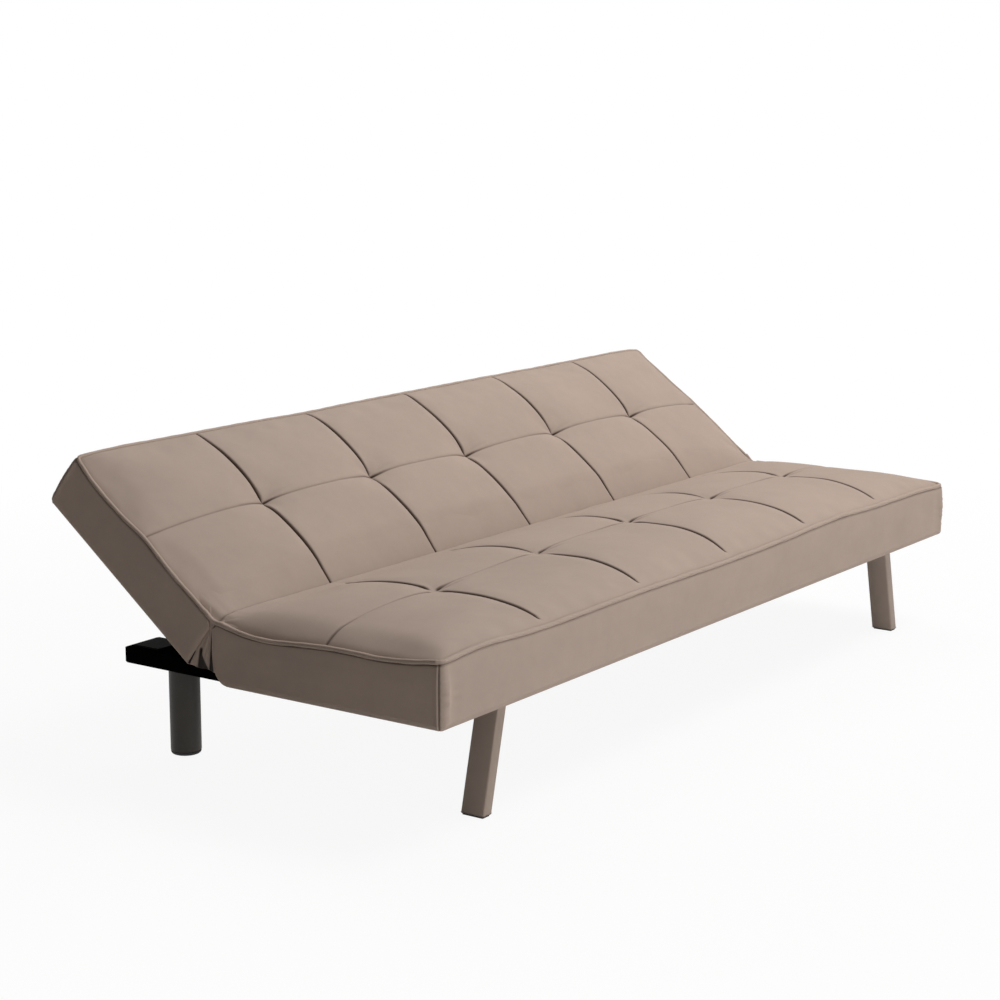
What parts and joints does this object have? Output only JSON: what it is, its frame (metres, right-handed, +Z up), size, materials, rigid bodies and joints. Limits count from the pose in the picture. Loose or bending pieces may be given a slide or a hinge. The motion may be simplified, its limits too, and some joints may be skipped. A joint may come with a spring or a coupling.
{
  "type": "sofa bed",
  "caption": "Low click-clack sofa bed: a tufted seat and a tufted reclining back that folds down flat onto rear arms, on splayed front legs and round rear legs.",
  "frame": {"origin": "on the floor under the middle of the whole piece, back reclined as in the picture", "axes": "+X along the length towards the sitter's left, +Y towards the rear, +Z up; the front faces -Y"},
  "size_m": [1.9, 0.8814, 0.5622],
  "materials": {
    "taupe_fabric": "short-pile suede-like cloth over foam",
    "black_cloth": "thin non-woven dust cloth",
    "webbing": "elastic webbing",
    "grey_felt": "felt",
    "pine": "sawn softwood",
    "taupe_paint": "satin taupe paint",
    "black_paint": "matt black paint",
    "graphite": "satin graphite",
    "black_rubber": "matt",
    "steel": "drawn",
    "zinc_plate": "zinc plated"
  },
  "bodies": {
    "seat": {"front_glide_left": "black_rubber", "front_glide_right": "black_rubber", "front_leg_left": "taupe_paint", "front_leg_plate_left": "zinc_plate", "front_leg_plate_right": "zinc_plate", "front_leg_right": "taupe_paint", "gusset_left": "taupe_fabric", "gusset_right": "taupe_fabric", "hinge_pin_left": "steel", "hinge_pin_right": "steel", "hinge_seat_plate_left": "zinc_plate", "hinge_seat_plate_right": "zinc_plate", "pawl_pin_left": "steel", "pawl_pin_right": "steel", "pawl_spring_left": "steel", "pawl_spring_right": "steel", "rear_arm_left": "black_paint", "rear_arm_right": "black_paint", "rear_foot_left": "black_rubber", "rear_foot_right": "black_rubber", "rear_leg_left": "graphite", "rear_leg_right": "graphite", "rest_pad_left": "grey_felt", "rest_pad_right": "grey_felt", "seat_cushion": "taupe_fabric", "seat_dust_cover": "black_cloth", "seat_front_panel": "taupe_fabric", "seat_front_rail": "pine", "seat_left_panel": "taupe_fabric", "seat_left_rail": "pine", "seat_leg_block_left": "pine", "seat_leg_block_right": "pine", "seat_piping": "taupe_fabric", "seat_rear_panel": "taupe_fabric", "seat_rear_rail": "pine", "seat_right_panel": "taupe_fabric", "seat_right_rail": "pine", "seat_slat_inner_left": "pine", "seat_slat_inner_right": "pine", "seat_slat_outer_left": "pine", "seat_slat_outer_right": "pine", "seat_springs": "steel"},
    "back": {"back_cushion": "taupe_fabric", "back_left_panel": "taupe_fabric", "back_left_rail": "pine", "back_lower_panel": "taupe_fabric", "back_lower_rail": "pine", "back_piping": "taupe_fabric", "back_rear_cover": "taupe_fabric", "back_right_panel": "taupe_fabric", "back_right_rail": "pine", "back_slat_left": "pine", "back_slat_right": "pine", "back_top_panel": "taupe_fabric", "back_top_rail": "pine", "back_webbing": "webbing", "hinge_back_plate_left": "zinc_plate", "hinge_back_plate_right": "zinc_plate"},
    "pawl_left": {"latch_pawl_left": "zinc_plate"},
    "pawl_right": {"latch_pawl_right": "zinc_plate"}
  },
  "joints": [
    {"name": "back_fold", "type": "hinge", "parent": "seat", "child": "back", "pos_m": [0, 0.05332, 0.297], "axis": [1, 0, 0], "range_deg": [-38, 46], "deforming": ["gusset_left", "gusset_right"]},
    {"name": "latch_left", "type": "hinge", "parent": "seat", "child": "pawl_left", "pos_m": [-0.9351, 0.00353, 0.26578], "axis": [1, 0, 0], "range_deg": [0, 5.5]},
    {"name": "latch_right", "type": "hinge", "parent": "seat", "child": "pawl_right", "pos_m": [0.9351, 0.00353, 0.26578], "axis": [1, 0, 0], "range_deg": [0, 5.5]}
  ],
  "couplings": [
    {"joint": "latch_right", "follows": "latch_left", "ratio": 1}
  ]
}
